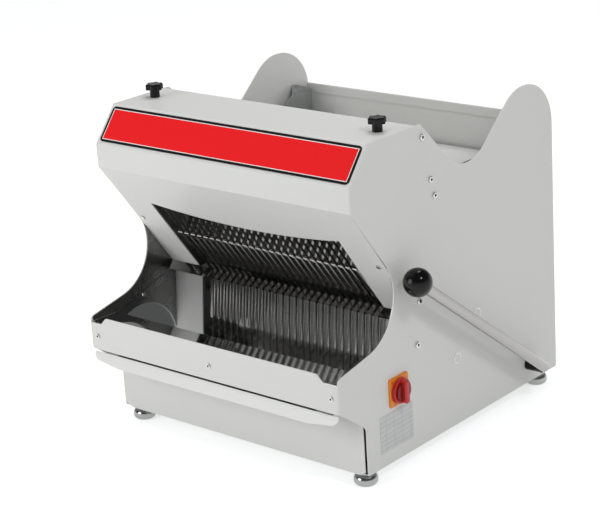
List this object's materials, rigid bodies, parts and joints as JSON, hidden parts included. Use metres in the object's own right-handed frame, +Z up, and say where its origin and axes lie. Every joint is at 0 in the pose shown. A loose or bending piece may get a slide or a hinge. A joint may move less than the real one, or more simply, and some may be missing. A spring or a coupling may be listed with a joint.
{
  "type": "bread slicer",
  "caption": "Bench bread slicer with a hand push lever, blade frames, comb trays, slanted hood, star knobs, rotary switch and crumb tray.",
  "frame": {"origin": "centre of the bounding box in plan, on the plane the feet stand on", "axes": "-Y towards the user at the sliced-bread tray, +Y to the loading end, +X to the lever side, +Z up; the depth along Y is the longest side"},
  "size_m": [0.691, 0.712, 0.6689],
  "materials": {
    "body_paint": "fine light grey-white powder coat",
    "strip_paint": "light powder coat",
    "banner_red": "red enamel with a black border and a thin light line",
    "tray_polish": "mirror-polished stainless sheet",
    "comb_steel": "ground stainless",
    "floor_paint": "light powder coat",
    "guide_steel": "satin stainless",
    "blade_steel": "ground blade steel",
    "frame_steel": "machined steel",
    "zinc_sheet": "zinc-plated sheet",
    "cast": "dark grey machine enamel",
    "block_plastic": "natural bearing plastic",
    "lever_steel": "fine-ground stainless tube",
    "knob_black": "black moulded plastic",
    "screw_steel": "plain stainless",
    "foot_chrome": "bright chrome",
    "switch_yellow": "moulded plastic",
    "switch_red": "moulded plastic",
    "switch_black": "moulded plastic",
    "plate_silver": "satin foil plate",
    "belt_rubber": "ribbed rubber"
  },
  "bodies": {
    "blade_frame_a": {"frame_a_bars": "frame_steel", "frame_a_rods": "frame_steel", "blades_a": "blade_steel", "yoke_a": "frame_steel"},
    "blade_frame_b": {"frame_b_bars": "frame_steel", "frame_b_rods": "frame_steel", "blades_b": "blade_steel", "yoke_b": "frame_steel"},
    "crank": {"crankshaft": "frame_steel", "crank_pulley": "cast"},
    "motor_rotor": {"motor_shaft": "frame_steel", "motor_pulley": "cast"},
    "pusher": {"pusher_comb": "comb_steel", "pusher_arms": "frame_steel", "pusher_shaft": "frame_steel", "lever_hub": "knob_black", "lever_tube": "lever_steel", "ball_knob": "knob_black"},
    "hold_down": {"hold_down_comb": "comb_steel", "hold_down_rail": "frame_steel", "hold_down_studs": "frame_steel"},
    "left_knob": {"left_star_knob": "knob_black"},
    "right_knob": {"right_star_knob": "knob_black"},
    "switch_rotor": {"switch_knob": "switch_red"},
    "tray_drawer": {"crumb_tray": "zinc_sheet", "tray_pull_strip": "strip_paint"},
    "housing": {"left_side_panel": "body_paint", "right_side_panel": "body_paint", "hood": "body_paint", "front_lip": "body_paint", "lower_apron": "body_paint", "back_panel": "body_paint", "banner_panel": "banner_red", "output_tray": "tray_polish", "tray_cheeks": "tray_polish", "lower_comb": "comb_steel", "chute_floor": "floor_paint", "side_guides": "guide_steel", "funnel_plates": "guide_steel", "base_plate": "zinc_sheet", "floor_ribs": "zinc_sheet", "tray_runners": "zinc_sheet", "terminal_box": "zinc_sheet", "panel_nuts": "zinc_sheet", "foot_nuts": "zinc_sheet", "crank_bearings": "cast", "motor": "cast", "motor_mount": "cast", "guide_blocks": "block_plastic", "shaft_bushes": "block_plastic", "panel_screws": "screw_steel", "cover_screws": "screw_steel", "blanking_plugs": "screw_steel", "feet": "foot_chrome", "switch_plate": "switch_yellow", "switch_box": "switch_black", "cord_gland": "switch_black", "rating_plate": "plate_silver", "drive_belt": "belt_rubber"}
  },
  "joints": [
    {"name": "frame_a_slide", "type": "slide", "parent": "housing", "child": "blade_frame_a", "axis": [0, -0.5886, 0.8085], "range_m": [-0.01, 0.01]},
    {"name": "frame_b_slide", "type": "slide", "parent": "housing", "child": "blade_frame_b", "axis": [0, -0.5886, 0.8085], "range_m": [-0.01, 0.01]},
    {"name": "crank_spin", "type": "hinge", "parent": "housing", "child": "crank", "pos_m": [-0.0315, 0.04011, 0.095], "axis": [1, 0, 0], "continuous": true},
    {"name": "motor_spin", "type": "hinge", "parent": "housing", "child": "motor_rotor", "pos_m": [-0.0315, 0.172, 0.15], "axis": [1, 0, 0], "continuous": true},
    {"name": "pusher_swing", "type": "hinge", "parent": "housing", "child": "pusher", "pos_m": [-0.0315, 0.242, 0.071], "axis": [-1, 0, 0], "range_deg": [0, 52]},
    {"name": "hold_down_lift", "type": "slide", "parent": "housing", "child": "hold_down", "axis": [0, 0, 1], "range_m": [0, 0.03]},
    {"name": "left_knob_turn", "type": "hinge", "parent": "hold_down", "child": "left_knob", "pos_m": [-0.3045, -0.156, 0.65], "axis": [0, 0, 1], "continuous": true},
    {"name": "right_knob_turn", "type": "hinge", "parent": "hold_down", "child": "right_knob", "pos_m": [0.2415, -0.156, 0.65], "axis": [0, 0, 1], "continuous": true},
    {"name": "switch_turn", "type": "hinge", "parent": "housing", "child": "switch_rotor", "pos_m": [0.2835, -0.1795, 0.166], "axis": [1, 0, 0], "range_deg": [0, 90]},
    {"name": "tray_pull", "type": "slide", "parent": "housing", "child": "tray_drawer", "axis": [0, -1, 0], "range_m": [0, 0.28]}
  ],
  "couplings": [
    {"joint": "frame_b_slide", "follows": "frame_a_slide", "ratio": -1},
    {"joint": "motor_spin", "follows": "crank_spin", "ratio": 2.5}
  ]
}
